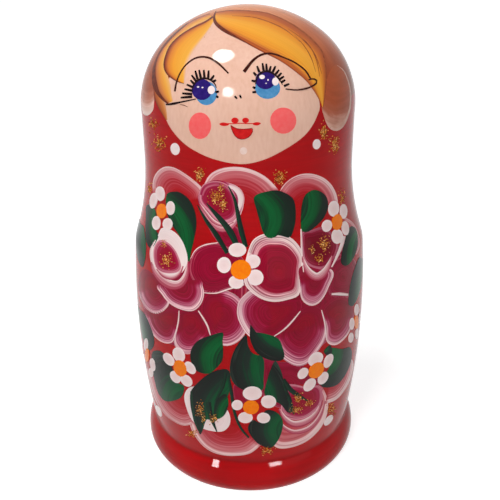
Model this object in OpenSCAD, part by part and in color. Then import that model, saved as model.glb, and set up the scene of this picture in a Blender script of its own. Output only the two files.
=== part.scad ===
// Nesting doll set: six hollow turned dolls that open at the belly, one inside the other,
// and a small solid doll in the middle. Sizes are those of the outermost doll, in millimetres.
// Every inner doll is the same turning made smaller, so that it stands in the hollow around it.

/* [Outline] */
// Height of the outermost doll
doll_height = 175; // [150:1:200]
// Radius of the belly at its widest
belly_radius = 44.6; // [40:0.1:51]
// How far the head is narrower than the belly, on each side
head_inset = 6.9; // [4.6:0.1:9.6]
// Radius of the long curve of the body, seen from the side
body_curve = 320; // [250:5:420]
// Radius of the shoulder's curve, seen from the side
shoulder_curve = 16; // [10:0.5:24]
// Height at which the belly is widest, as a share of the doll's height
belly_height_share = 0.3571; // [0.3143:0.0001:0.4]
// Height at which the body starts to turn in to the shoulder, as a share of the doll's height
shoulder_height_share = 0.5171; // [0.5:0.0001:0.5486]
// Height at which the neck passes into the straight head, as a share of the doll's height
neck_height_share = 0.7104; // [0.69:0.0001:0.74]
// Height of the dome over the straight head, as a share of the head's radius
dome_rise_share = 0.8753; // [0.8223:0.0001:0.9814]
// Radius of the curve at the side of the dome, as a share of the head's radius
dome_curve_share = 0.809; // [0.531:0.001:0.822]

/* [Foot] */
// How far the foot ring is narrower than the belly, on each side
foot_inset = 1.2; // [-1.4:0.1:3.6]
// Height at which the foot ring is widest
foot_height = 4.7; // [3:0.1:6]
// Radius of the curve from the foot ring down to the base
foot_base_curve = 7.5; // [6.5:0.1:10]
// Radius of the curve from the foot ring up to the groove
foot_top_curve = 15; // [12:0.5:18]
// Radius of the groove between the foot ring and the body
groove_curve = 2; // [1:0.1:4]

/* [Opening] */
// Height of the seam where the doll opens, as a share of the doll's height
seam_height_share = 0.4686; // [0.4343:0.0001:0.4914]
// Thickness of the wall at the seam
wall = 7; // [5:0.1:9]
// Height of the thin rim that the top half slides over
rim_height = 10; // [6:0.5:12]
// Chamfer at the mouth of the rim
rim_chamfer = 0.8; // [0.3:0.1:1.2]
// Radial running clearance between the rim and the socket of the top half
rim_clearance = 0.08; // [0.03:0.01:0.1]
// Free height over the rim when the doll is closed
rim_end_gap = 0.6; // [0.3:0.1:1.5]

/* [Hollow] */
// Thickness of the floor that the next doll stands on
floor_thickness = 7; // [5:0.5:10]
// Radius of the corner between the floor and the wall of the hollow
floor_corner = 2.5; // [1:0.1:2.8]
// Thickness of the wall in the shoulder and the head
crown_wall = 5.5; // [4:0.1:7]
// Free width between the widest part of the next doll and the wall round it
nest_gap = 2.5; // [2:0.1:4]
// Free height that the finish leaves under a doll that stands in the one around it
stand_gap = 0.05; // [0.03:0.01:0.3]

/* [Hidden] */

$fn = 96;

// How far the straight steps of the outline may lie inside its true arcs
curve_tolerance = 0.01;

// Where two circles cross, to the left of the way from the first to the second
function crossing(first, first_radius, second, second_radius) =
    let (way = second - first)
    let (apart = norm(way))
    let (along = (first_radius ^ 2 - second_radius ^ 2 + apart ^ 2) / (2 * apart))
    let (aside = sqrt(first_radius ^ 2 - along ^ 2))
    first + along * way / apart + aside * [-way.y, way.x] / apart;

// Direction from one point to another
function bearing(start, target) = atan2(target.y - start.y, target.x - start.x);

// Points along an arc, without its first one
function arc(centre, radius, start, end) =
    let (widest_step = 2 * acos(1 - curve_tolerance / radius))
    let (steps = ceil(abs(end - start) / widest_step))
    [
        for (i = [1 : steps])
            let (angle = start + (end - start) * i / steps)
            centre + radius * [cos(angle), sin(angle)]
    ];

// Heights and radii that the outline passes through
belly_height = belly_height_share * doll_height;
seam_height = seam_height_share * doll_height;
shoulder_height = shoulder_height_share * doll_height;
neck_height = neck_height_share * doll_height;
head_radius = belly_radius - head_inset;
foot_radius = belly_radius - foot_inset;
dome_rise = dome_rise_share * head_radius;
dome_curve = dome_curve_share * head_radius;
dome_height = doll_height - dome_rise;

// Centres of the outline's arcs, as radius and height, and the directions where one passes into the next
body_centre = [belly_radius - body_curve, belly_height];
shoulder_turn = asin((shoulder_height - belly_height) / body_curve);
shoulder_centre = body_centre
    + (body_curve - shoulder_curve) * [cos(shoulder_turn), sin(shoulder_turn)];
neck_reach = [head_radius, neck_height] - shoulder_centre;
neck_curve = (norm(neck_reach) ^ 2 - shoulder_curve ^ 2) / (2 * (shoulder_curve - neck_reach.x));
neck_centre = [head_radius + neck_curve, neck_height];
neck_turn = bearing(shoulder_centre, neck_centre);
dome_centre = [head_radius - dome_curve, dome_height];
crown_curve = (dome_rise ^ 2 + dome_centre.x ^ 2 - dome_curve ^ 2) / (2 * (dome_rise - dome_curve));
crown_centre = [0, doll_height - crown_curve];
crown_turn = bearing(crown_centre, dome_centre);
foot_base_centre = [foot_radius - foot_base_curve, foot_height];
foot_top_centre = [foot_radius - foot_top_curve, foot_height];
groove_centre = crossing(
    body_centre, body_curve + groove_curve,
    foot_top_centre, foot_top_curve + groove_curve
);
base_turn = -asin(foot_height / foot_base_curve);
base_radius = foot_base_centre.x + foot_base_curve * cos(base_turn);
groove_low_turn = bearing(foot_top_centre, groove_centre);
groove_high_turn = bearing(body_centre, groove_centre);
function seam_turn(inset) = asin((seam_height - belly_height) / (body_curve - inset));
function radius_at_seam(inset) = body_centre.x + (body_curve - inset) * cos(seam_turn(inset));

// The joint between the halves, and the hollow for the next doll
seam_radius = radius_at_seam(0);
hollow_radius = seam_radius - wall;
rim_radius = hollow_radius + (wall - rim_clearance) / 2;
socket_radius = rim_radius + rim_clearance;
rim_top = seam_height + rim_height;
widest_radius = max(belly_radius, foot_radius);

// Size of each doll as a share of the outermost one
next_share = (hollow_radius - nest_gap) / widest_radius;
function size_share(number) = next_share ^ (number - 1);

// Height at which a doll stands: on the floor of the one around it
function stand_height(number) =
    number == 1 ? 0 : stand_height(number - 1) + (floor_thickness + stand_gap) * size_share(number - 1);

// Outline from the base up to the seam: foot ring, groove and belly
bottom_outline = concat(
    [[0, 0], [base_radius, 0]],
    arc(foot_base_centre, foot_base_curve, base_turn, 0),
    arc(foot_top_centre, foot_top_curve, 0, groove_low_turn),
    arc(groove_centre, groove_curve, 180 + groove_low_turn, 180 + groove_high_turn),
    arc(body_centre, body_curve, groove_high_turn, seam_turn(0))
);

// Outline from the seam up to the crown, set in by the thickness of a wall
function top_outline(inset) = concat(
    [[radius_at_seam(inset), seam_height]],
    arc(body_centre, body_curve - inset, seam_turn(inset), shoulder_turn),
    arc(shoulder_centre, shoulder_curve - inset, shoulder_turn, neck_turn),
    arc(neck_centre, neck_curve + inset, 180 + neck_turn, 180),
    [[head_radius - inset, dome_height]],
    arc(dome_centre, dome_curve - inset, 0, crown_turn),
    arc(crown_centre, crown_curve - inset, crown_turn, 90)
);

// Outline of the rim that the top half slides over, with a chamfered mouth
rim_outline = [
    [rim_radius, seam_height],
    [rim_radius, rim_top - rim_chamfer],
    [rim_radius - rim_chamfer, rim_top],
    [hollow_radius, rim_top],
];

// Outline of the hollow in the bottom half, from its mouth down to the middle of its floor
floor_corner_centre = [hollow_radius - floor_corner, floor_thickness + floor_corner];
hollow_outline = concat(
    [[hollow_radius, floor_corner_centre.y]],
    arc(floor_corner_centre, floor_corner, 0, -90),
    [[0, floor_thickness]]
);

// Turns a half section about the axis and puts it in its place in the set
module turned(number) {
    translate([0, 0, stand_height(number)])
        scale(size_share(number))
            rotate_extrude()
                children();
}

// Lower half: foot, belly and rim
module bottom_half(number) {
    turned(number)
        polygon(concat(bottom_outline, rim_outline, hollow_outline));
}

// Upper half: socket, shoulder and head
module top_half(number) {
    turned(number)
        difference() {
            polygon(concat([[0, seam_height]], top_outline(0)));
            polygon(concat([[0, seam_height]], top_outline(crown_wall)));
            translate([0, seam_height])
                square([socket_radius, rim_height + rim_end_gap]);
        }
}

// The smallest doll is turned in one piece
module solid_doll(number) {
    turned(number)
        polygon(concat(bottom_outline, top_outline(0)));
}

module doll1_bottom() { color("firebrick") bottom_half(1); }
module doll1_top() { color("crimson") top_half(1); }
module doll2_bottom() { color("firebrick") bottom_half(2); }
module doll2_top() { color("crimson") top_half(2); }
module doll3_bottom() { color("firebrick") bottom_half(3); }
module doll3_top() { color("crimson") top_half(3); }
module doll4_bottom() { color("firebrick") bottom_half(4); }
module doll4_top() { color("crimson") top_half(4); }
module doll5_bottom() { color("firebrick") bottom_half(5); }
module doll5_top() { color("crimson") top_half(5); }
module doll6_bottom() { color("firebrick") bottom_half(6); }
module doll6_top() { color("crimson") top_half(6); }
module doll7_whole() { color("crimson") solid_doll(7); }

doll1_bottom();
doll1_top();
doll2_bottom();
doll2_top();
doll3_bottom();
doll3_top();
doll4_bottom();
doll4_top();
doll5_bottom();
doll5_top();
doll6_bottom();
doll6_top();
doll7_whole();
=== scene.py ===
import math
import random

import bmesh
import bpy
from mathutils import Matrix, Quaternion, Vector
from mathutils.bvhtree import BVHTree


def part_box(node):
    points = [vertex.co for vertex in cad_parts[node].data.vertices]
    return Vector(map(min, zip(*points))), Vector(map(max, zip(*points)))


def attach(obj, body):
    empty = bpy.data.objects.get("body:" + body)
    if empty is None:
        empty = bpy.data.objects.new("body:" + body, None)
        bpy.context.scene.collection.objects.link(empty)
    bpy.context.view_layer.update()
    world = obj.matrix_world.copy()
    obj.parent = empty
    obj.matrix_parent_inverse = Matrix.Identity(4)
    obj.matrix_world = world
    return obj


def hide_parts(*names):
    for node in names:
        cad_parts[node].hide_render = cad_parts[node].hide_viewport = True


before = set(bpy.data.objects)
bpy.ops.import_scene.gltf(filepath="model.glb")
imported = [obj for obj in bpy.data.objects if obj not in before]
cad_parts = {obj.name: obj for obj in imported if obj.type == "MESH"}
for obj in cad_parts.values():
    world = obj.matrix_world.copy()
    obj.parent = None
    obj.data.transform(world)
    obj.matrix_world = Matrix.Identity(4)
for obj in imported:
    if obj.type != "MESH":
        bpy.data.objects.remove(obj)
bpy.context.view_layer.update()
scene = bpy.context.scene
scene.view_settings.view_transform = "Standard"
mm = 0.001
print("frame loaded:", len(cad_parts), "turned pieces")

# the view: the photograph's frame is 500 x 500 px, and places given in px are pixels of that frame
view = {
    "frameSide": 500,        # px
    "focal": 750,            # px
    "sensor": 36,            # mm
    "elevation": 26,         # degrees over the horizon
    "distance": 0.292,       # m from the point it looks at
    "lookAt": (0.00027, 0, 0.0835),
    "roll": -0.45,           # degrees, the doll leans a little
}


def setCamera():
    cam = bpy.data.cameras.new("viewCamera")
    cam.sensor_width = view["sensor"]
    cam.lens = view["sensor"] * view["focal"] / view["frameSide"]
    obj = bpy.data.objects.new("viewCamera", cam)
    scene.collection.objects.link(obj)
    tilt = math.radians(view["elevation"])
    back = Vector((0, -math.cos(tilt), math.sin(tilt)))
    turn = (-back).to_track_quat("-Z", "Y") @ Quaternion((0, 0, 1), math.radians(view["roll"]))
    obj.location = Vector(view["lookAt"]) + back * view["distance"]
    obj.rotation_mode = "QUATERNION"
    obj.rotation_quaternion = turn
    scene.camera = obj
    return obj.location.copy(), turn.to_matrix()


eye, eyeTurn = setCamera()


def pixelRay(x, y):
    half = view["frameSide"] / 2
    return eyeTurn @ Vector(((x - half) / view["focal"], (half - y) / view["focal"], -1)).normalized()


# colours are written as a screen shows them, 0 to 255, and turned into the values that sockets take
def tint(red, green, blue):
    def linear(part):
        part /= 255
        return part / 12.92 if part <= 0.04045 else ((part + 0.055) / 1.055) ** 2.4
    return (linear(red), linear(green), linear(blue), 1)


def tinted(stops):
    return [(place, tint(*colour)) for place, *colour in stops]


def addNode(tree, kind, inputs=None, **settings):
    made = tree.nodes.new("ShaderNode" + kind)
    for key, value in settings.items():
        setattr(made, key, value)
    for key, value in (inputs or {}).items():
        if isinstance(value, bpy.types.NodeSocket):
            tree.links.new(value, made.inputs[key])
        else:
            made.inputs[key].default_value = value
    return made


def addMath(tree, operation, first, second, clamp=False):
    return addNode(tree, "Math", {0: first, 1: second}, operation=operation, use_clamp=clamp).outputs[0]


def addRamp(tree, factor, stops):
    ramp = addNode(tree, "ValToRGB", {"Fac": factor})
    elements = ramp.color_ramp.elements
    while len(elements) < len(stops):
        elements.new(0.5)
    for element, (place, colour) in zip(elements, stops):
        element.position = place
        element.color = colour
    return ramp.outputs["Color"]


# a scale for each axis draws the noise out along the axis with the small one
def addNoise(tree, source, scale, detail):
    if isinstance(scale, tuple):
        source = addNode(tree, "Mapping", {"Vector": source, "Scale": scale}).outputs["Vector"]
        scale = 1.0
    return addNode(tree, "TexNoise", {"Vector": source, "Scale": scale, "Detail": detail}).outputs["Fac"]


def addShade(tree, colour, shade):
    return addNode(tree, "VectorMath", {0: colour, "Scale": shade}, operation="SCALE").outputs["Vector"]


lacquer = {"roughness": 0.45, "specular": 0.0, "coat": 0.8, "coatRoughness": 0.035, "coatIor": 1.2}
reliefDepth = 0.2 * mm  # of brush marks and fibres


def newFinish(name, roughness=lacquer["roughness"], coat=lacquer["coat"]):
    mat = bpy.data.materials.new(name)
    mat.use_nodes = True
    bsdf = mat.node_tree.nodes["Principled BSDF"]
    bsdf.inputs["Roughness"].default_value = roughness
    bsdf.inputs["Specular IOR Level"].default_value = lacquer["specular"]
    bsdf.inputs["Coat Weight"].default_value = coat
    bsdf.inputs["Coat Roughness"].default_value = lacquer["coatRoughness"]
    bsdf.inputs["Coat IOR"].default_value = lacquer["coatIor"]
    return mat, mat.node_tree, bsdf


def setLook(tree, bsdf, colour, height, relief):
    tree.links.new(colour, bsdf.inputs["Base Color"])
    bump = addNode(tree, "Bump", {"Height": height, "Strength": relief, "Distance": reliefDepth})
    tree.links.new(bump.outputs["Normal"], bsdf.inputs["Normal"])


# plain ground colour under lacquer, with the faint marks that the brush leaves round the doll, and painted
# shade that darkens it in the groove over the foot
ground = {
    "tones": [(0.35, 168, 0, 6), (0.65, 188, 1, 9)],
    "brushed": (60, 60, 900),
    "cloud": 45.0,
    "grooveShade": 0.24,              # painted shade: how much darker the colour is made at the bottom of the groove
    "relief": 0.02,
}


def groundFinish(name):
    mat, tree, bsdf = newFinish(name)
    place = addNode(tree, "TexCoord").outputs["Object"]
    rings = addNoise(tree, place, ground["brushed"], 4)
    cloud = addNoise(tree, place, ground["cloud"], 2)
    both = addMath(tree, "MULTIPLY", addMath(tree, "ADD", rings, cloud), 0.5)
    # painted shade: the red is darkened in a band round the groove, fading with the height over it
    rise = addNode(tree, "Attribute", attribute_name="overGroove").outputs["Fac"]
    fall = addMath(tree, "MULTIPLY", addMath(tree, "MULTIPLY", rise, rise), -1.0)
    grooveShade = addMath(tree, "POWER", math.e, fall)
    shade = addMath(tree, "SUBTRACT", 1.0, addMath(tree, "MULTIPLY", grooveShade, ground["grooveShade"]))
    colour = addShade(tree, addRamp(tree, both, tinted(ground["tones"])), shade)
    setLook(tree, bsdf, colour, rings, ground["relief"])
    return mat


# bare turned wood: fibres run up the doll, and the tool leaves fine rings across them
timber = {"fibre": 1100, "broad": 120, "broadRun": 0.25, "fibreShare": 0.6, "spread": (0.32, 0.68),
          "turned": (40, 40, 1800), "relief": 0.12}
woods = {
    "bareWood": {
        "tones": [(206, 168, 118), (226, 192, 144), (238, 210, 168)],
        "roughness": 0.55, "coat": 0.0, "rings": 1.4, "fibreRun": 70},
    "faceWood": {
        "tones": [(231, 182, 158), (236, 189, 167), (240, 196, 175)],
        "roughness": 0.4, "coat": lacquer["coat"], "rings": 0.3, "fibreRun": 320},
}


def woodFinish(name, tones, roughness, coat, rings, fibreRun):
    mat, tree, bsdf = newFinish(name, roughness, coat)
    place = addNode(tree, "TexCoord").outputs["Object"]
    fibre = addNoise(tree, place, (timber["fibre"], timber["fibre"], fibreRun), 3)
    broad = addNoise(tree, place, (timber["broad"], timber["broad"], fibreRun * timber["broadRun"]), 3)
    mixed = addMath(tree, "ADD", addMath(tree, "MULTIPLY", fibre, timber["fibreShare"]),
                    addMath(tree, "MULTIPLY", broad, 1 - timber["fibreShare"]))
    low, high = timber["spread"]
    stops = [(low + (high - low) * i / (len(tones) - 1), *tone) for i, tone in enumerate(tones)]
    turned = addNoise(tree, place, timber["turned"], 2)
    height = addMath(tree, "ADD", addMath(tree, "MULTIPLY", turned, rings), fibre)
    setLook(tree, bsdf, addRamp(tree, mixed, tinted(stops)), height, timber["relief"])
    return mat


# a brush stroke: colour runs across it from its inner edge to its rim, pulled into streaks along it
bristles = {"along": 0.8, "across": 3.4, "relief": 0.06}  # times the streaks' along and across


def strokeFinish(name, stops, streak, along, across, bristle=0.1, ends=0.5, grain=0.25):
    mat, tree, bsdf = newFinish(name)
    uv = addNode(tree, "UVMap", uv_map="paintMap").outputs["UV"]
    over = addNode(tree, "SeparateXYZ", {"Vector": uv}).outputs["Y"]
    broad = addNoise(tree, uv, (along, across, 1), 3)
    fine = addNoise(tree, uv, (along * bristles["along"], across * bristles["across"], 1), 4)
    pull = addMath(tree, "ADD",
                   addMath(tree, "MULTIPLY", addMath(tree, "SUBTRACT", broad, 0.5), streak * 2),
                   addMath(tree, "MULTIPLY", addMath(tree, "SUBTRACT", fine, 0.5), bristle * 2))
    fade = addNode(tree, "Attribute", attribute_name="rimFade").outputs["Fac"]
    loss = addMath(tree, "MULTIPLY", addMath(tree, "SUBTRACT", 1.0, fade), ends)
    place = addMath(tree, "SUBTRACT", addMath(tree, "ADD", over, pull), loss, clamp=True)
    shade = addMath(tree, "ADD", addMath(tree, "MULTIPLY", fine, grain * 2), 1 - grain)
    setLook(tree, bsdf, addShade(tree, addRamp(tree, place, tinted(stops)), shade), fine, bristles["relief"])
    return mat


# one solid colour of thick paint, a little uneven between a dark and a light tone
dab = {"grain": 900, "spread": (0.3, 0.7), "relief": 0.03}


def dabFinish(name, dark, light):
    mat, tree, bsdf = newFinish(name)
    noise = addNoise(tree, addNode(tree, "TexCoord").outputs["Object"], dab["grain"], 3)
    low, high = dab["spread"]
    setLook(tree, bsdf, addRamp(tree, noise, tinted([(low, *dark), (high, *light)])), noise, dab["relief"])
    return mat


# every flake of gold takes a tone of its own
gold = {
    "tones": [(0.0, 112, 48, 20), (0.4, 184, 98, 32), (0.75, 232, 152, 58), (1.0, 255, 218, 140)],
    "cell": 0.4 * mm, "roughness": 0.35, "coat": 0.3,
}


def glitterFinish(name):
    mat, tree, bsdf = newFinish(name, gold["roughness"], gold["coat"])
    place = addNode(tree, "TexCoord").outputs["Object"]
    cells = addNode(tree, "VectorMath", {0: place, 1: (gold["cell"],) * 3}, operation="SNAP")
    noise = addNode(tree, "TexWhiteNoise", {"Vector": cells.outputs["Vector"]}).outputs["Value"]
    tree.links.new(addRamp(tree, noise, tinted(gold["tones"])), bsdf.inputs["Base Color"])
    return mat


# strokes have stops of colour from the inner edge to the rim, and dabs a dark and a light tone
paints = {
    "hairCap": {
        "stops": [
            (0.0, 150, 62, 32), (0.3, 172, 82, 42), (0.55, 196, 106, 60), (0.8, 222, 140, 92),
            (1.0, 228, 150, 104)],
        "streak": 0.16, "bristle": 0.12, "along": 3.5, "across": 1.2, "grain": 0.2},
    "hairLock": {
        "stops": [
            (0.0, 142, 62, 34), (0.06, 180, 86, 42), (0.13, 208, 118, 50), (0.22, 234, 150, 46),
            (0.36, 240, 164, 52), (0.56, 240, 166, 58), (0.72, 230, 144, 44), (0.84, 208, 116, 42),
            (0.94, 184, 92, 42), (1.0, 170, 80, 42)],
        "streak": 0.07, "bristle": 0.1, "along": 0.3, "across": 9, "grain": 0.14},
    "hairEdge": {
        "stops": [
            (0.0, 238, 188, 150), (0.14, 241, 172, 66), (0.6, 239, 160, 48), (0.8, 224, 130, 46),
            (0.93, 178, 82, 40), (1.0, 118, 50, 30)],
        "streak": 0.05, "bristle": 0.06, "along": 0.3, "across": 9, "grain": 0.12},
    "hairStrand": {
        "stops": [
            (0.0, 238, 182, 120), (0.25, 242, 172, 70), (0.5, 232, 150, 62), (0.75, 204, 118, 66),
            (0.92, 150, 66, 42), (1.0, 104, 38, 32)],
        "streak": 0.05, "bristle": 0.06, "along": 0.3, "across": 8, "grain": 0.12},
    "hairTip": {
        "stops": [
            (0.0, 182, 86, 42), (0.5, 178, 82, 46), (0.74, 182, 98, 70), (0.9, 212, 158, 138),
            (1.0, 230, 192, 178)],
        "streak": 0.2, "bristle": 0.16, "along": 1.5, "across": 3, "grain": 0.3},
    "paleTip": {
        "stops": [
            (0.0, 170, 82, 46), (0.4, 168, 82, 52), (0.62, 196, 122, 96), (0.78, 232, 186, 170),
            (1.0, 246, 216, 206)],
        "streak": 0.12, "bristle": 0.12, "along": 1.5, "across": 3, "grain": 0.15},
    "lowLock": {
        "stops": [
            (0.0, 226, 158, 104), (0.3, 208, 124, 58), (0.65, 190, 98, 46), (0.9, 150, 64, 36),
            (1.0, 112, 42, 30)],
        "streak": 0.1, "bristle": 0.12, "along": 0.3, "across": 8, "grain": 0.2},
    "tipLine": ((206, 156, 136), (226, 184, 166)),
    "hairLine": ((126, 56, 30), (170, 88, 40)),
    "brownLine": ((88, 34, 24), (122, 52, 32)),
    "rosePetal": {
        "stops": [
            (0.0, 152, 0, 34), (0.2, 142, 0, 38), (0.5, 154, 2, 46), (0.68, 164, 26, 68),
            (0.78, 182, 74, 106), (0.9, 208, 130, 150), (1.0, 238, 200, 202)],
        "streak": 0.2, "bristle": 0.34, "along": 0.3, "across": 7, "grain": 0.65},
    "deepPetal": {
        "stops": [
            (0.0, 140, 0, 36), (0.4, 152, 4, 46), (0.7, 144, 0, 42), (0.93, 154, 16, 54),
            (1.0, 176, 70, 92)],
        "streak": 0.2, "bristle": 0.3, "along": 0.3, "across": 7, "grain": 0.8},
    "rimPetal": {
        "stops": [
            (0.0, 158, 0, 32), (0.3, 144, 0, 36), (0.6, 154, 2, 42), (0.74, 162, 20, 56),
            (0.8, 206, 118, 134), (0.88, 240, 204, 202), (1.0, 246, 218, 216)],
        "streak": 0.12, "bristle": 0.26, "along": 0.3, "across": 7, "grain": 0.75},
    "pinkLobe": {
        "stops": [
            (0.0, 178, 4, 14), (0.36, 180, 12, 24), (0.54, 186, 40, 52), (0.72, 198, 76, 86),
            (0.88, 214, 124, 130), (1.0, 242, 204, 202)],
        "streak": 0.2, "bristle": 0.26, "along": 0.25, "across": 7, "ends": 0.4, "grain": 0.2},
    "budPetal": {
        "stops": [(0.0, 152, 0, 34), (0.55, 156, 0, 42), (0.8, 170, 30, 74), (1.0, 220, 142, 158)],
        "streak": 0.2, "bristle": 0.3, "along": 0.4, "across": 5, "grain": 0.3},
    "budDeep": {
        "stops": [(0.0, 112, 0, 22), (0.7, 124, 0, 30), (0.88, 148, 24, 56), (1.0, 196, 108, 130)],
        "streak": 0.2, "bristle": 0.3, "along": 0.4, "across": 5, "grain": 0.3},
    "pinkStroke": {
        "stops": [
            (0.0, 172, 40, 72), (0.3, 194, 88, 108), (0.6, 218, 144, 154), (0.85, 238, 200, 200),
            (1.0, 246, 222, 220)],
        "streak": 0.3, "bristle": 0.4, "along": 0.25, "across": 2.6, "ends": 0.35},
    "whiteStroke": {
        "stops": [(0.0, 220, 156, 164), (0.25, 242, 212, 210), (1.0, 248, 228, 226)],
        "streak": 0.14, "bristle": 0.16, "along": 0.5, "across": 7, "ends": 0.2, "grain": 0.1},
    "leafGreen": {
        "stops": [
            (0.0, 16, 52, 34), (0.1, 2, 72, 34), (0.3, 0, 96, 44), (0.48, 0, 78, 36), (0.66, 20, 42, 30),
            (1.0, 26, 30, 26)],
        "streak": 0.14, "bristle": 0.36, "along": 0.7, "across": 4, "grain": 0.5},
    "leafDark": {
        "stops": [
            (0.0, 10, 74, 42), (0.14, 4, 88, 44), (0.3, 14, 70, 42), (0.46, 28, 44, 36), (0.78, 28, 30, 28),
            (1.0, 46, 62, 52)],
        "streak": 0.18, "bristle": 0.36, "along": 0.7, "across": 4, "grain": 0.5},
    "bladeDark": {
        "stops": [(0.0, 18, 30, 24), (0.5, 24, 44, 34), (0.8, 10, 66, 40), (1.0, 30, 34, 30)],
        "streak": 0.3, "bristle": 0.3, "along": 0.7, "across": 2, "grain": 0.4},
    "daisyPetal": {
        "stops": [(0.0, 242, 212, 210), (0.6, 246, 220, 218), (1.0, 250, 232, 230)],
        "streak": 0.2, "along": 0.6, "across": 5, "grain": 0.06},
    "daisyHeart": ((252, 118, 0), (255, 138, 4)),
    "inkLine": ((22, 8, 12), (40, 18, 20)),
    "browLine": ((50, 14, 10), (74, 26, 16)),
    "irisBlue": ((34, 14, 100), (48, 28, 120)),
    "skyBlue": ((62, 130, 182), (86, 150, 198)),
    "whiteDot": ((244, 222, 220), (251, 236, 234)),
    "lipRed": ((202, 12, 16), (226, 28, 28)),
    "lipDark": ((142, 6, 12), (166, 12, 18)),
    "cheekCoral": ((255, 94, 96), (255, 110, 108)),
    "chinDot": ((243, 208, 196), (249, 222, 212)),
}
finishes = {"redLacquer": groundFinish("redLacquer")}
finishes.update({name: woodFinish(name, **wood) for name, wood in woods.items()})
for name, paint in paints.items():
    finishes[name] = strokeFinish(name, **paint) if isinstance(paint, dict) else dabFinish(name, *paint)
finishes["goldGlitter"] = glitterFinish("goldGlitter")
finishNames = list(finishes)
print("finishes:", len(finishes))

# the turned shells: the section of each CAD piece is turned again, finer, with bare wood inside
shell = {
    "steps": (240, 200, 176, 152, 128, 112, 96),  # round each doll, the largest first
    "sharp": 0.6,                # radians between faces where an edge stays crisp
    "cut": 1e-7, "joined": 1e-6,  # m
    "down": -0.9,                # mouths and bases look down more than this, and stay bare
    "out": 0.05,                 # the painted side of a lower half looks outwards more than this,
    "outerShare": 0.912,         # and lies past this share of the doll's radius
    "grooveZone": (0.09, 0.3),   # heights over the base between which the groove lies, in widths of the doll
    "grooveShare": 0.9,          # the outer side there lies past this share of the radius
    "grooveShadeWidth": 0.012,               # how far from the groove the painted shade reaches, in widths of the doll
    "farOff": 30,                # times that, for all that doesn't lie near the groove
}
dollCount = len(shell["steps"])


def halfSection(node):
    bm = bmesh.new()
    bm.from_mesh(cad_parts[node].data)
    bmesh.ops.remove_doubles(bm, verts=bm.verts, dist=shell["cut"])
    for normal, both in (((0, 1, 0), True), ((-1, 0, 0), False)):
        bmesh.ops.bisect_plane(bm, geom=bm.verts[:] + bm.edges[:] + bm.faces[:], dist=shell["cut"],
                               plane_co=(0, 0, 0), plane_no=normal, clear_inner=both, clear_outer=True)
    return bm


def sharpen(bm):
    bm.normal_update()
    for edge in bm.edges:
        edge.smooth = not (edge.is_manifold and edge.calc_face_angle() > shell["sharp"])
    for face in bm.faces:
        face.smooth = True


def addPiece(bm, name, body, materials):
    mesh = bpy.data.meshes.new(name)
    bm.to_mesh(mesh)
    bm.free()
    for material in materials:
        mesh.materials.append(finishes[material])
    obj = bpy.data.objects.new(name, mesh)
    scene.collection.objects.link(obj)
    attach(obj, body)
    return obj


def isPainted(face, node, low, high):
    middle, normal = face.calc_center_median(), face.normal
    if node.endswith("_bottom"):
        out = Vector((middle.x, middle.y, 0)).normalized()
        return normal.dot(out) > shell["out"] and middle.to_2d().length > high.x * shell["outerShare"]
    if normal.z <= shell["down"]:
        return False
    heart = Vector((0, 0, (low.z * 2 + high.z) / 3))  # the outside of a head looks away from here
    return node.endswith("_whole") or normal.dot(middle - heart) > 0


# height and radius of the groove over the foot, the narrowest place of the outer side there
def findGroove(bm, low, high):
    width = high.x - low.x
    start, end = (low.z + width * share for share in shell["grooveZone"])
    outer = [v.co for v in bm.verts if start < v.co.z < end and v.co.x > high.x * shell["grooveShare"]]
    narrow = min(outer, key=lambda place: place.x)
    return narrow.z, narrow.x


def turnShell(node):
    low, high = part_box(node)
    bm = halfSection(node)
    groove = None if node.endswith("_top") else findGroove(bm, low, high)
    overGroove = bm.verts.layers.float.new("overGroove")
    steps = shell["steps"][int(node[len("doll")]) - 1]
    bmesh.ops.spin(bm, geom=bm.verts[:] + bm.edges[:], cent=(0, 0, 0), axis=(0, 0, 1),
                   angle=2 * math.pi, steps=steps, use_merge=True)
    bmesh.ops.remove_doubles(bm, verts=bm.verts, dist=shell["joined"])
    bmesh.ops.recalc_face_normals(bm, faces=bm.faces)
    bm.normal_update()
    # height over the groove, in widths of its painted shade, for the red ground's painted shade
    grooveShadeWidth = (high.x - low.x) * shell["grooveShadeWidth"]
    for vert in bm.verts:
        vert[overGroove] = shell["farOff"]
        if groove and vert.co.to_2d().length > groove[1] * shell["grooveShare"]:
            vert[overGroove] = (vert.co.z - groove[0]) / grooveShadeWidth
    for face in bm.faces:
        face.material_index = 0 if isPainted(face, node, low, high) else 1
    sharpen(bm)
    obj = addPiece(bm, node + "_shell", node, ["redLacquer", "bareWood"])
    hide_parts(node)
    return obj


shells = {node: turnShell(node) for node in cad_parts}
print("shells turned:", len(shells))

# where the photograph's pixels land on the closed outermost doll
outerDoll = bmesh.new()
for node in ("doll1_bottom", "doll1_top"):
    outerDoll.from_mesh(shells[node].data)
outerTree = BVHTree.FromBMesh(outerDoll)
outerDoll.free()
wrap = {
    "middle": 249, "reach": 130, "firstRow": 3, "lastRow": 495,  # px
    "edge": 0.985,               # share of a row's half width past which the paint goes on round the doll
    "searchSteps": 12,
    "headHeart": (0, 0, 0.13),   # m
}


def castPixel(x, y):
    point, normal = outerTree.ray_cast(eye, pixelRay(x, y))[:2]
    return None if point is None else (point, normal)


def rowEnd(y, side):
    near, far = wrap["middle"], wrap["middle"] + side * wrap["reach"]
    for step in range(wrap["searchSteps"]):
        half = (near + far) / 2
        near, far = (half, far) if castPixel(half, y) else (near, half)
    return near


rows = {}
for row in range(wrap["firstRow"], wrap["lastRow"]):
    if castPixel(wrap["middle"], row):
        rows[row] = (rowEnd(row, -1), rowEnd(row, 1))
topRow, bottomRow = min(rows) + 1, max(rows) - 2


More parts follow.
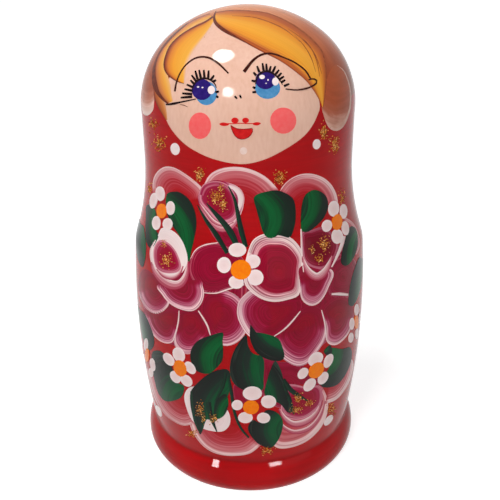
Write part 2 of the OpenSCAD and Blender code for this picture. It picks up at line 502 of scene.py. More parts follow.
def land(x, y):
    y = min(max(y, topRow), bottomRow)
    row = int(y)
    part = y - row
    left, right = (rows[row][i] * (1 - part) + rows[row + 1][i] * part for i in (0, 1))
    middle, half = (left + right) / 2, (right - left) / 2
    place = (x - middle) / half
    beyond = abs(place) - wrap["edge"]
    if beyond <= 0:
        return castPixel(x, y)
    side = math.copysign(1, place)
    point, normal = castPixel(middle + side * wrap["edge"] * half, y)
    turn = Matrix.Rotation(side * beyond / math.sqrt(1 - wrap["edge"] ** 2), 3, "Z")
    return turn @ point, turn @ normal


# places on the head in degrees from the front and up from level
def landHead(around, rise):
    side, lift = math.radians(around), math.radians(rise)
    way = Vector((math.sin(side) * math.cos(lift), -math.cos(side) * math.cos(lift), math.sin(lift)))
    # from outside, to meet the painted side
    return outerTree.ray_cast(Vector(wrap["headHeart"]) + way, -way)[:2]


print("photo rows on the doll:", topRow, "to", bottomRow)

# the painting, laid down stroke by stroke at the size of the outermost doll; the small dolls get broader
# steps and no glitter
brushes = {
    "fine": {"ground": 0.03 * mm, "layer": 0.018 * mm, "depth": 0.3 * mm, "step": 1.15 * mm},
    "broad": {"ground": 0.045 * mm, "layer": 0.03 * mm, "depth": 0.5 * mm, "step": 1.8 * mm},
}
fineDolls = 2
patch = {
    "probes": (6, 3),            # steps along and across in which a patch is measured first
    "most": (120, 60),           # steps along and across that it may get
    "fade": 0.1,                 # share of the length over which a pale rim comes and goes
    "streaks": 100,              # units of the pattern in a metre
    "tile": 7.0,                 # units of the pattern between strokes, so that no two have the same streaks
    "ahead": 0.02,               # share of a stroke that is looked ahead for its direction
    "joined": 1e-6,              # m
}
bendPoints = 8                   # between two points of a path
strokes = []


def throughPoints(points, closed=False):
    pts = [Vector(p) for p in points]
    count = len(pts)
    dense = []
    for i in range(count if closed else count - 1):
        if closed:
            a, b, c, d = (pts[(i + k) % count] for k in (-1, 0, 1, 2))
        else:
            a, b, c, d = pts[max(i - 1, 0)], pts[i], pts[i + 1], pts[min(i + 2, count - 1)]
        for k in range(bendPoints):
            t = k / bendPoints
            dense.append(0.5 * (2 * b + (c - a) * t + (2 * a - 5 * b + 4 * c - d) * t * t
                                + (3 * b - a - 3 * c + d) * t * t * t))
    dense.append(pts[0] if closed else pts[-1])
    lengths = [0.0]
    for a, b in zip(dense, dense[1:]):
        lengths.append(lengths[-1] + (b - a).length)

    def at(u):
        want = min(max(u, 0), 1) * lengths[-1]
        low, high = 0, len(lengths) - 1
        while high - low > 1:
            half = (low + high) // 2
            low, high = (half, high) if lengths[half] <= want else (low, half)
        span = lengths[high] - lengths[low]
        return dense[low].lerp(dense[high], 0 if span == 0 else (want - lengths[low]) / span)
    return at


def easeStep(low, high, x):
    t = min(max((x - low) / (high - low), 0), 1)
    return t * t * (3 - 2 * t)


# keep is the smallest doll that still gets the stroke, least the fewest steps along and across
def layPatch(at, finish, layer, keep=dollCount, rim=None, across=None, least=(3, 1), lander=land):
    strokes.append((at, finish, layer, keep, rim, across, least, lander))


def makePatch(paint, brush, number, at, finish, layer, keep, rim, across, least, lander):
    paintMap = paint.loops.layers.uv["paintMap"]
    rimFade = paint.verts.layers.float["rimFade"]
    facing = paint.verts.layers.float_vector["facing"]
    smallest = paint.faces.layers.int["smallestDoll"]
    uEnd, vEnd = patch["probes"]
    probe = [[lander(*at(u / uEnd, v / vEnd))[0] for v in range(vEnd + 1)] for u in range(uEnd + 1)]
    uSpan = max(sum((probe[i + 1][j] - probe[i][j]).length for i in range(uEnd)) for j in range(vEnd + 1))
    vSpan = max(sum((line[j + 1] - line[j]).length for j in range(vEnd)) for line in probe)
    uSteps, vSteps = (min(max(math.ceil(span / brush["step"]), few), many)
                      for span, few, many in zip((uSpan, vSpan), least, patch["most"]))
    made = bmesh.ops.create_grid(paint, x_segments=uSteps, y_segments=vSteps, size=0.5)["verts"]
    faces = list({face for vert in made for face in vert.link_faces})
    lift = brush["ground"] + brush["layer"] * layer
    shift = number * patch["tile"]
    fade = patch["fade"]
    mapped, outward = {}, {}
    for vert in made:
        u, v = vert.co.x + 0.5, vert.co.y + 0.5
        pixel = at(u, v)
        point, normal = lander(*pixel)
        mapped[vert] = across(pixel) if across else (u * uSpan * patch["streaks"], v)
        vert[rimFade] = 1
        if rim:
            vert[rimFade] = easeStep(rim[0] - fade, rim[0], u) * (1 - easeStep(rim[1], rim[1] + fade, u))
        vert.co = point + normal * lift
        vert[facing] = outward[vert] = normal
    for face in faces:
        face.material_index = finishNames.index(finish)
        face[smallest] = keep
        for loop in face.loops:
            loop[paintMap].uv = (mapped[loop.vert][0] + shift, mapped[loop.vert][1])
        face.normal_update()
    if sum(face.normal.dot(outward[face.verts[0]]) * face.calc_area() for face in faces) < 0:
        bmesh.ops.reverse_faces(paint, faces=faces)
    bmesh.ops.remove_doubles(paint, verts=made, dist=patch["joined"])


def makePainting(brush):
    paint = bmesh.new()
    paint.loops.layers.uv.new("paintMap")
    paint.verts.layers.float.new("rimFade")
    paint.verts.layers.float_vector.new("facing")
    paint.faces.layers.int.new("smallestDoll")
    for number, stroke in enumerate(strokes, 1):
        makePatch(paint, brush, number, *stroke)
    return paint


def centreOf(points):
    return sum((Vector(p) for p in points), Vector((0, 0))) / len(points)


# a filled shape: fans out from a hub to its rim, which is pale along the stretch of ring
def layFan(rim, finish, layer, hub=None, closed=True, ring=None, lander=land):
    edge = throughPoints(rim, closed)
    middle = Vector(hub) if hub else centreOf(rim)
    layPatch(lambda u, v: middle.lerp(edge(u), v), finish, layer, rim=ring, least=(14, 2), lander=lander)


# a filled leaf: its colour runs across from one side to the other, bent towards its ends
leafRun = 0.04  # units of the pattern in a pixel
leafBow = 0.35  # taken off the bend, so that it pushes both ways


def layLeaf(rim, base, tip, finish, layer, darkLeft=False, bend=0.3):
    edge = throughPoints(rim, True)
    middle = centreOf(rim)
    axis = (Vector(tip) - Vector(base)).normalized()
    side = Vector((axis.y, -axis.x)) * (-1 if darkLeft else 1)
    spread = [(Vector(p) - middle).dot(side) for p in rim]
    low, high = min(spread), max(spread)
    reach = (Vector(tip) - Vector(base)).length / 2

    def across(pixel):
        off = pixel - middle
        run = off.dot(axis) / reach
        return run * reach * leafRun, (off.dot(side) - low) / (high - low) + bend * (run * run - leafBow)
    layPatch(lambda u, v: middle.lerp(edge(u), v), finish, layer, across=across, least=(14, 2))


# a shape between two edges, first edge to second edge
def layBetween(first, second, finish, layer):
    edgeA, edgeB = throughPoints(first), throughPoints(second)
    layPatch(lambda u, v: edgeA(u).lerp(edgeB(u), v), finish, layer)


# a stroke along a path, as wide as the brush is pressed at each of the widths
def layStroke(path, widths, finish, layer, keep=dollCount, ring=None, least=(4, 1)):
    line = throughPoints(path)

    def at(u, v):
        ahead = line(min(u + patch["ahead"], 1)) - line(max(u - patch["ahead"], 0))
        aside = Vector((-ahead.y, ahead.x)).normalized()
        spot = u * (len(widths) - 1)
        i = min(int(spot), len(widths) - 2)
        width = widths[i] + (widths[i + 1] - widths[i]) * (spot - i)
        return line(u) + aside * width * (v - 0.5)
    layPatch(at, finish, layer, keep, ring, least=least)


def layDot(centre, radii, finish, layer, tilt=0, keep=dollCount):
    turn = Matrix.Rotation(math.radians(tilt), 2)
    middle = Vector(centre)

    def at(u, v):
        angle = 2 * math.pi * u
        return middle + turn @ Vector((radii[0] * math.cos(angle), radii[1] * math.sin(angle))) * v
    layPatch(at, finish, layer, keep, least=(18, 2))


# hair: a brown cap all over the head, golden locks from the parting, and lock ends over the scarf
hair = {
    "capRise": (25, 32),         # degrees: how far down it goes at the sides and behind, and above the face
    "capFront": (42, 60),        # degrees from the front where it passes from one to the other
    "backTips": (98, 130.8, 163.6, 196.4, 229.2, 262),
    "backTip": [(-16.3, 27), (-16, 17), (-10.5, 10.5), (0, 8), (10.5, 10.5), (16, 17), (16.3, 27)],
    "backTipRoot": 32,
    "backTipPale": (0.2, 0.8),
    "rightLower": [
        (214, 22), (222, 29), (236, 37.5), (250, 45.5), (264, 53), (279, 60.5), (293, 70), (306, 81),
        (314, 91.5), (319, 100), (322, 107)],
    "rightUpper": [
        (216, 12.5), (232, 10.6), (250, 11.2), (269, 13.8), (290, 23.2), (305.3, 33.8), (315.2, 43),
        (321.4, 51), (325, 63), (326, 78), (325, 93), (323, 107)],
    "leftInner": [
        (213.5, 22), (208, 31), (202, 39.5), (196, 47.5), (190.5, 56), (187, 65), (185.5, 74), (184, 83)],
    "leftOuter": [
        (213, 17), (205, 22.4), (192.4, 28.3), (180, 36), (170.7, 45.5), (166.2, 55.7), (164.4, 64.5),
        (166, 72), (171, 77.5), (178, 81.8), (184, 83.6)],
    "strandInner": [
        (212, 18), (203, 22), (192, 27.6), (179, 37), (170, 47), (166, 57), (165, 66), (168, 76),
        (170.5, 86), (171.5, 94), (173, 101)],
    "strandOuter": [
        (210, 13.6), (198.6, 17.6), (187.3, 23.5), (175.8, 33.4), (165.6, 44.2), (158.6, 55), (154.8, 66),
        (154.1, 75), (155, 84), (158, 92.5), (163, 99), (168, 103.5)],
    "lowInner": [(159, 92), (164, 101), (166.5, 110), (167.5, 120)],
    "lowOuter": [(153, 86), (154.6, 98), (158.6, 108), (166, 120)],
    "sideTips": {
        "right": ("hairTip", (350, 97), (322, 97), [
            (335.9, 64.4), (342.8, 69.7), (347.4, 79.7), (350.4, 89), (351.2, 100.3), (349.7, 111.8),
            (345.1, 124), (339, 130.2), (332.8, 130.4), (327.5, 125.6), (323.7, 115.6), (321.6, 105),
            (324.6, 88), (329.6, 72)]),
        "left": ("paleTip", (154.5, 95), (140.5, 95), [
            (147, 72), (152, 80), (153.8, 92), (154.2, 103), (152.5, 111), (147.5, 115.6), (143, 113),
            (141.5, 105), (141, 94), (142, 82)]),
    },
    "sideTipBend": 0.12,
    "rightTipEdge": [
        (337, 65.4), (343.4, 70.6), (347.6, 80), (350, 90), (350.4, 101), (348.8, 112), (344, 123.4)],
    "parting": [(216, 11.5), (214.3, 17), (216, 23.5), (225, 31), (238, 38.3), (252, 46)],
    "streaks": [
        [(294, 35), (304, 46), (311.5, 59), (315.5, 72)],
        [(299, 35), (310, 47), (316.5, 61), (319.5, 77)],
        [(288, 29), (303, 40), (315, 55), (321.6, 74)],
        [(232, 16), (256, 18), (282, 28), (300, 42)],
    ],
    "widths": {
        "rightTipEdge": [0.3, 0.9, 1.1, 1.2, 1.4, 1.8, 1.2],
        "parting": [1, 3.2, 3.6, 2.4, 1.4, 0.3],
        "leftOuter": [1.6, 1.4, 1, 1, 1.3, 1.5, 1, 0.4],
        "strandOuter": [0.8, 1.6, 1.8, 1.6, 1.7, 3, 5, 3.4, 1.4],
        "rightUpper": [0.6, 0.9, 0.7, 1, 1.3, 1.1, 0.8, 0.4],
        "streak": [0.2, 0.7, 0.8, 0.2],
    },
}


def capPlace(u, v):
    around = 360 * u - 180
    low, high = hair["capRise"]
    rise = low + (high - low) * (1 - easeStep(*hair["capFront"], abs(around)))
    return Vector((around, rise + (90 - rise) * v))


layPatch(capPlace, "hairCap", 0, lander=landHead)
for around in hair["backTips"]:
    layFan([(around + x, y) for x, y in hair["backTip"]], "hairTip", 1, hub=(around, hair["backTipRoot"]),
           closed=False, ring=hair["backTipPale"], lander=landHead)
for finish, base, tip, rim in hair["sideTips"].values():
    layLeaf(rim, base, tip, finish, 2, bend=hair["sideTipBend"])
layStroke(hair["rightTipEdge"], hair["widths"]["rightTipEdge"], "tipLine", 3, keep=4)

# the face: bare wood with pen lines, under the locks
face = {
    "outline": [
        (212, 18), (230, 29), (248, 39), (266, 49), (282, 57), (296, 67), (308, 78), (316, 91),
        (319.8, 106), (317, 116), (312, 126), (305, 135), (295, 143), (282, 151), (267, 158.5), (252, 163),
        (240, 164), (225, 162), (208, 157), (192, 149), (181, 140.5), (172, 130), (166, 119), (163, 107),
        (164, 92), (170, 77), (183, 57), (198, 36)],
    "hub": (243, 104),
    "lashesLeft": [
        ((192.3, 96.8), (180.8, 97.7)), ((192.3, 94.2), (182.3, 93.4)), ((192.8, 90.8), (184.6, 89.2)),
        ((193.8, 87.7), (186.9, 84.6)), ((194.6, 84.3), (190.6, 80.2)), ((196, 81), (191.7, 75.2)),
        ((197.8, 79.4), (195.4, 70.8)), ((201, 78.3), (199.2, 70)), ((204.6, 78.2), (203.9, 70)),
        ((208.2, 78.6), (208.8, 70.5)), ((210.9, 80.1), (214.2, 75.4)), ((213.2, 81.7), (216.3, 80.2)),
        ((215.4, 92.3), (219.2, 91.5)), ((216.2, 96.2), (218.6, 97.6))],
    "lashesRight": [
        ((255.4, 81.5), (251.4, 80.6)), ((256.2, 75.6), (253.4, 72.4)), ((259.3, 72.4), (257, 66.2)),
        ((263.6, 70.8), (262.4, 63.2)), ((266.7, 70.8), (266.2, 63.8)), ((269.2, 72.3), (270.8, 66.2)),
        ((272.3, 73), (275.4, 66.2)), ((274.7, 75.4), (279, 70)), ((277, 77.7), (281.5, 73)),
        ((278.5, 80), (283.9, 76.5)), ((281.5, 82.3), (285.2, 80)), ((283.8, 86.2), (289.2, 83.9)),
        ((255.4, 88.4), (252.6, 87)), ((256.2, 92), (252.2, 92.4))],
    "lashWidths": [2.6, 2.4, 1.7],
    "lidArcs": [
        [(193, 88), (196.4, 81.6), (203, 78.4), (209.4, 79.4), (214.6, 83.4), (216.6, 88)],
        [(255.4, 84.5), (257.4, 77), (262, 72.4), (268, 71.4), (274.4, 74.6), (279.4, 79.6), (282.4, 85)],
    ],
    "lidArcWidths": [0.8, 1.8, 2.2, 2, 1.6, 0.6],
    "lines": {
        # finish, layer, smallest doll that gets it, widths, path
        "browLeft": ("browLine", 6, 7, [1.7, 1.5, 1.4, 1.8, 2.2, 1.5], [
            (175, 91.5), (176.5, 83), (179.5, 75), (184, 67.5), (190, 61.5), (196.5, 58), (204, 57),
            (211.5, 59), (219.5, 64.5), (228.5, 73.5)]),
        "browRight": ("browLine", 6, 7, [3.4, 2.4, 1.8, 1.5, 1.5, 1.7], [
            (244, 72), (248.5, 66), (253, 60.5), (259, 56), (265.5, 53.8), (273, 54), (282, 57),
            (291.5, 61), (299, 65.5), (305.5, 71), (310.5, 79)]),
        "lidLeft": ("inkLine", 5, 7, [1, 1.4, 1.6, 2.6, 1.4], [
            (196, 99), (184, 101.5), (172, 104), (166, 104.5)]),
        "lidRight": ("browLine", 6, 7, [1.2, 1.5, 1.8, 1.8, 1.6, 1.4], [
            (285.5, 89), (297, 90), (308, 88), (315.5, 84), (316.5, 80.8), (313, 78.8), (308.5, 80)]),
        "lidThin": ("brownLine", 5, 3, [0.4, 0.8, 0.3], [(180, 104.6), (184, 105.2), (188, 107)]),
    },
    "noseDashes": [((234.6, 96.2), (237.2, 98.8)), ((239.6, 95), (241.4, 98.4))],
    "dashWidths": [1.8, 2.1, 1.4],
}
layFan(face["outline"], "faceWood", 1, hub=face["hub"])
layBetween(hair["lowInner"], hair["lowOuter"], "lowLock", 2)
layBetween(hair["strandInner"], hair["strandOuter"], "hairStrand", 3)
layBetween(hair["rightLower"], hair["rightUpper"], "hairLock", 3)
layBetween(hair["leftInner"], hair["leftOuter"], "hairEdge", 4)
layStroke(hair["parting"], hair["widths"]["parting"], "brownLine", 5)
layStroke(hair["leftOuter"], hair["widths"]["leftOuter"], "brownLine", 5)
layStroke(hair["strandOuter"][2:], hair["widths"]["strandOuter"], "brownLine", 5)  # from below the parting
layStroke(hair["rightUpper"], hair["widths"]["rightUpper"], "hairLine", 4)
for streak in hair["streaks"]:
    layStroke(streak, hair["widths"]["streak"], "hairLine", 4, keep=3)

eyes = {
    "left": {
        "iris": ((202, 89.6), (10.2, 10.6)),
        "sky": ((206.4, 93.2), (10.8, 12)),
        "glints": [((211.4, 90), (3.6, 4.2)), ((198.2, 87), (1.2, 0.8)), ((202.6, 87.6), (1, 0.7))],
    },
    "right": {
        "iris": ((265.4, 80), (10.2, 9.4)),
        "sky": ((267.6, 88.1), (12.6, 10.9)),
        "glints": [
            ((262, 77), (2.8, 2.2)), ((275.3, 81.6), (3.3, 4)), ((266, 83.4), (0.8, 0.6)),
            ((268, 80), (0.7, 0.9))],
    },
}
for side in eyes.values():
    layDot(*side["sky"], "skyBlue", 2)
    layDot(*side["iris"], "irisBlue", 3)
    for glint in side["glints"]:
        layDot(*glint, "whiteDot", 4)
for lash in face["lashesLeft"] + face["lashesRight"]:
    layStroke(lash, face["lashWidths"], "inkLine", 5, keep=5)
for arc in face["lidArcs"]:
    layStroke(arc, face["lidArcWidths"], "inkLine", 5, keep=5)
for finish, layer, keep, widths, path in face["lines"].values():
    layStroke(path, widths, finish, layer, keep)
for dash in face["noseDashes"]:
    layStroke(dash, face["dashWidths"], "inkLine", 5)

mouth = {
    "lobes": [((235, 120.4), (3.7, 2.9)), ((245.6, 120.3), (3.4, 2.7))],
    "line": [
        (220, 124.2), (226, 123.6), (233, 123.6), (241, 123.2), (248, 123.6), (254, 123.4), (260.5, 123.4)],
    "ends": [
        [(219.2, 124), (223, 122.4), (228.5, 123.6), (228.5, 125.2), (223, 126)],
        [(261, 123.2), (257, 122), (253, 123.2), (253.2, 124.8), (257.6, 125.4)],
    ],
    "lower": [
        (230.8, 125.4), (236, 128.4), (242.3, 129.2), (248, 128.8), (252.8, 128.4), (252.4, 132),
        (249.8, 136), (246, 138.4), (241.5, 139.2), (236.4, 137.2), (232.6, 131.4)],
    "lineWidths": [0.7, 0.9, 0.9, 0.9, 0.7],
    "rimWidths": [0.9, 0.8, 0.9, 0.8, 0.9],
}
for lobe in mouth["lobes"]:
    layDot(*lobe, "lipRed", 3)
for end in mouth["ends"]:
    layFan(end, "lipRed", 3)
layStroke(mouth["line"], mouth["lineWidths"], "lipRed", 4)
layFan(mouth["lower"], "lipRed", 3)
layStroke(mouth["lower"] + mouth["lower"][:1], mouth["rimWidths"], "lipDark", 4, keep=4)

dots = {
    "cheeks": [((200, 125.7), (11.2, 13.3)), ((283.2, 120.6), (13.1, 13.1))],
    "pale": [
        ((175.2, 149), (4.6, 6.1), -12), ((316.6, 144.2), (3.9, 5.1), 10), ((158.8, 411), (2.2, 6), -24),
        ((328.5, 420.2), (3, 6.4), 38)],
    "chin": ((243.5, 150.8), (3.7, 3.7)),
}
for cheek in dots["cheeks"]:
    layDot(*cheek, "cheekCoral", 2)
for centre, radii, tilt in dots["pale"]:
    layDot(centre, radii, "whiteDot", 2, tilt, keep=5)
layDot(*dots["chin"], "chinDot", 2, keep=5)
print("head drawn, strokes:", len(strokes))

# pink lobes under the roses, top and bottom: layer, hub, rim
lobePale = (0.06, 0.94)
lobes = {
    "upperLeft": (0, (182, 202), [
        (153, 192), (153, 181), (157, 172), (164.5, 166.8), (174, 167.6), (185, 173.8), (196, 182),
        (202.5, 189), (204, 198)]),
    "upperRight": (0, (305, 206), [
        (279, 192), (285, 183.5), (293, 177.3), (302.3, 174), (313, 174), (323.8, 178), (331.5, 185),
        (336.4, 194.5), (338, 204)]),
    "upperMiddle": (1, (241, 208), [
        (202, 190), (208, 177), (216.2, 170.4), (228.5, 167.2), (241, 167.2), (253, 170.2), (263.8, 175.6),
        (271.5, 182), (278.5, 190)]),
    "farRight": (0, (345, 240), [
        (343, 217), (349, 219.5), (354.5, 225), (358.5, 235), (359.8, 245), (356, 256)]),
    "lowerLeft": (0, (182, 396), [
        (146, 366), (150.5, 385), (156, 401), (164, 413.5), (174.6, 422), (185.4, 425.6), (196, 422)]),
    "lowerMiddle": (0, (226, 420), [
        (189, 421), (192.3, 431), (198.5, 440.8), (207, 449), (219.2, 454.4), (234.6, 455.8), (250, 453.4),
        (262, 444)]),
    "lowerRight": (0, (300, 384), [
        (322, 386), (327.7, 400), (327, 413.8), (320.8, 427.7), (308.5, 440), (293, 447), (277.7, 448),
        (268, 440)]),
    "edgeRight": (0, (331, 372), [
        (345, 352), (353, 362), (350.5, 378), (344, 391), (335.5, 400), (325, 404)]),
}
for layer, hub, rim in lobes.values():
    layFan(rim, "pinkLobe", layer, hub=hub, closed=False, ring=lobePale)

# two open roses, each with a bud, a cup under it and a ring of petals
roses = {
    "ground": [
        [(260, 360), (280, 362), (300, 364), (324, 386), (304, 402), (280, 408), (262, 394)],
        [(234, 384), (246, 388), (250, 398), (242, 406), (235, 400)],
        [
            (143, 272), (139.5, 290), (145, 312), (150, 330), (160, 340), (176, 346), (190, 350),
            (206, 343), (225, 343), (239, 338), (246, 325), (244, 305), (245, 283), (242, 263), (226, 248),
            (205, 246), (191, 258), (170, 276)],
        [
            (247, 268), (251, 251), (262, 237), (283, 236), (299, 246), (320, 229), (337, 244), (351, 258),
            (356, 272), (349, 296), (352, 312), (345, 335), (328, 341), (317, 350), (301, 363), (285, 357),
            (271, 341), (250, 334), (240, 315), (245, 296)],
        [
            (203, 216), (212, 226), (224, 231), (236, 226), (241, 236), (246, 250), (232, 256), (222, 248),
            (212, 234)],
    ],
    # finish, layer, hub, where the rim is pale, rim
    "petals": [
        ("deepPetal", 1, (344, 276), None, [
            (331, 266), (341, 257), (352, 257), (358, 270), (353, 283), (349, 296), (331, 296),
            (328, 285)]),
        ("rosePetal", 1, (155, 287), (0.45, 0.85), [
            (160, 284), (152, 273), (143, 269), (138.5, 280), (140, 296), (144, 305), (150, 311.5),
            (157, 313.6), (164, 310.6), (169.4, 303), (167, 294)]),
        ("rosePetal", 1, (166, 322), (0.4, 0.8), [
            (179.4, 311), (165.4, 309), (154.6, 313), (144, 309), (146, 322), (151, 332), (158.5, 340),
            (167, 343.4), (173.4, 341), (177, 331)]),
        ("rosePetal", 1, (192, 322), (0.5, 0.8), [
            (205.4, 322), (198.6, 311), (189, 309), (179.2, 311), (178, 325), (174, 341), (178, 350),
            (186, 354), (195, 352), (203, 343), (210, 334)]),
        ("rosePetal", 2, (222, 314), (0.42, 0.92), [
            (210, 334), (203, 320), (199, 309), (203.8, 293.5), (216, 290), (228.5, 291.5), (238.5, 297.5),
            (245.6, 308), (248.6, 320), (246.6, 331), (239, 341), (227, 346), (214, 342)]),
        ("deepPetal", 2, (216, 268), None, [
            (191, 258), (196, 249.5), (205.4, 244.8), (216.2, 243.2), (226, 246), (236, 252), (245, 262),
            (247, 280), (243.8, 284.6), (229, 288.6), (216.2, 293), (203.8, 292), (196, 285),
            (189.5, 272)]),
        ("rosePetal", 1, (338, 318), (0.45, 0.9), [
            (321.5, 310.4), (330, 300), (340, 296), (350, 300), (353.6, 311), (352, 325), (346, 337),
            (336, 345), (327, 342), (325.6, 328)]),
        ("rosePetal", 2, (302, 326), (0.42, 0.86), [
            (321.6, 310.4), (311, 306), (300, 311), (288, 324), (275, 335.8), (274, 346), (281, 357),
            (292, 364.6), (301, 366), (309, 362), (318, 351), (324.6, 340), (326.6, 328)]),
        ("rosePetal", 3, (274, 313), (0.3, 0.62), [
            (300, 300), (284, 301), (268, 299), (253, 290), (243.6, 295.6), (238, 303.5), (237.4, 315.8),
            (242, 327), (249.5, 336.4), (261, 341), (274.6, 336.4), (287, 325), (300, 312)]),
        ("rimPetal", 4, (279.5, 272), None, [
            (248, 251.5), (253, 240.2), (262.3, 234.4), (273, 233.6), (283.8, 234.4), (293, 239.4),
            (300, 247.6), (303.6, 256), (302.4, 267), (301.2, 281), (298.6, 295), (287, 299.8),
            (274.6, 301.8), (262.3, 299.2), (251.5, 292.2), (244.4, 282.7), (244.6, 266)]),
    ],
    "cups": [
        ("rosePetal", 3, (180, 284), (0.06, 0.6), [
            (159, 284), (162.6, 295), (170, 303.6), (181, 309.4), (192.6, 311), (200.4, 305), (204, 295.5),
            (202.6, 286), (198, 280)]),
        ("rosePetal", 5, (315, 276), (0.2, 0.85), [
            (301, 266), (300, 284), (300.8, 297), (305.4, 303.4), (313, 305.6), (321, 300.6), (328, 288),
            (332, 270)]),
        ("rosePetal", 2, (219, 203), (0.3, 0.6), [
            (198, 197), (203, 185), (216, 180), (229.5, 183), (239.6, 188), (244.2, 196.4), (243.4, 206),
            (240, 216), (232, 228), (219, 229.5), (208, 219), (200, 207)]),
    ],
    "buds": [
        ("whiteStroke", 5, None, None, [
            (161.5, 228.4), (166.6, 228), (175, 232.4), (181.8, 240), (186, 249.6), (187.8, 260.4),
            (184.4, 269.4), (176.4, 276.4), (163.8, 276.4), (155.8, 271.4), (151.6, 263.5), (150, 252.7),
            (152.6, 243.4), (157.6, 236.6)]),
        ("budPetal", 7, (167, 258), None, [
            (159.4, 240.2), (167, 241.6), (174.4, 248.6), (179, 257.3), (181.4, 267), (177, 272.4),
            (165.4, 273), (157.4, 269), (154, 258.8), (154.4, 247.6)]),
        ("budDeep", 6, (316, 248), None, [
            (301.6, 233), (311.5, 230), (322.3, 226.8), (330, 231), (338, 243), (336.6, 253), (332, 261),
            (324, 268), (314.6, 268), (307, 264), (302.8, 256)]),
        ("budPetal", 4, (218, 200), None, [
            (198.8, 194.2), (203.6, 184.4), (216, 181), (227.4, 184.6), (234, 192.7), (237.4, 205),
            (238.4, 213), (234.8, 220), (225.4, 224), (215.6, 220), (206.4, 210), (199.6, 202)]),
        ("budPetal", 3, (302, 400), None, [
            (285.4, 387.4), (293, 384.2), (307, 387), (319.4, 385.6), (322.6, 393.8), (321, 404.6),
            (313, 413), (302.3, 419), (290, 419), (280.8, 412.3)]),
    ],
    "arcPale": (0.1, 0.9),
    # layer, widths, path
    "arcs": [
        (6, [2, 5, 8, 9, 8, 5, 2], [
            (188.4, 263), (186, 275.6), (180.6, 283.6), (172.6, 285), (163.6, 280.6), (155.6, 272),
            (151.4, 262)]),
        (8, [1, 3.4, 4.6, 3.6, 1], [(183.4, 266), (179, 274), (172, 277.6), (164, 275.4), (157, 269)]),
        (7, [1.5, 5, 8, 8, 5, 1.5], [
            (332, 256), (326, 269.6), (318.6, 276.4), (312, 275), (305.6, 267), (302, 256)]),
        (3, [1.5, 4, 6, 7, 6, 4, 1.5], [
            (239.4, 211), (237, 220), (229.6, 228), (219.4, 228.4), (209.6, 221), (203, 210),
            (198.6, 197)]),
        (5, [1, 3, 3.6, 2.6, 1], [(233.6, 222), (224, 225.4), (214, 221.6), (206.6, 213), (199.4, 203)]),
        (3, [1.5, 4, 6, 6.5, 5, 2], [
            (322, 400), (316.6, 412.4), (307, 421), (294.6, 424), (285.6, 419), (279, 409)]),
        (2, [1, 3, 4.4, 4.4, 3.4, 1.5], [
            (325, 401), (319, 417), (309, 428), (295, 432), (284, 427), (276, 417)]),
    ],
    "whites": [
        (5, [2.4, 5.4, 6, 4.6, 1.4], [
            (228.5, 185.6), (235.8, 188.6), (240.6, 195.6), (240.6, 204), (237.6, 213)]),
        (6, [3.5, 3.4, 2.4, 1], [(343.8, 236), (341, 246.5), (335.4, 259.4), (331.5, 267)]),
        (7, [1.2, 1.6, 1.6, 0.8], [(301, 229), (301.4, 243), (302, 258), (303.4, 272)]),
        (5, [2, 3, 2.4], [(331.5, 294), (339, 293.8), (348, 294.6)]),
        (4, [0.4, 0.9, 1.2, 0.8], [(190.6, 258.6), (195.8, 249.8), (205, 244.8), (218, 242.6)]),
        (4, [0.6, 1.4, 1.6, 1], [(203.8, 292.6), (216, 293), (229, 288.8), (244, 284.6)]),
        (4, [0.8, 1.3, 1.4, 0.8], [(179.2, 310.6), (178.6, 320.4), (176.4, 331), (173, 341)]),
        (4, [1, 1.6, 1.7, 1], [(198.4, 310.6), (203.8, 318.8), (207.9, 326.5), (210.4, 335)]),
        (5, [0.9, 1.5, 1.5, 0.8], [(300.4, 311), (291.5, 322), (283.8, 329.6), (274, 336.2)]),
        (4, [0.9, 1.4, 1.4, 0.8], [(321.4, 310), (324.2, 320.4), (325.6, 329.6), (326.4, 340)]),
        (8, [1, 1.6, 1.6, 0.8], [(153.6, 264), (151.4, 256), (152.4, 247), (156, 240)]),
    ],
    "lowCup": [
        (188.5, 388), (184.4, 395.4), (186, 406), (191, 418.5), (199, 426.4), (210, 430.6), (222.3, 431.4),
        (229, 426), (230.4, 418.5), (228, 411), (222.3, 405), (207, 395), (196.2, 387)],
}
for rim in roses["ground"]:
    layFan(rim, "deepPetal", 0)
for finish, layer, hub, pale, rim in roses["petals"] + roses["cups"] + roses["buds"]:
    layFan(rim, finish, layer, hub=hub, ring=pale)
for layer, widths, path in roses["arcs"]:
    layStroke(path, widths, "pinkStroke", layer, ring=roses["arcPale"], least=(8, 4))
for layer, widths, path in roses["whites"]:
    layStroke(path, widths, "whiteStroke", layer, keep=5)
layFan(roses["lowCup"], "whiteStroke", 2)
print("roses drawn, strokes:", len(strokes))

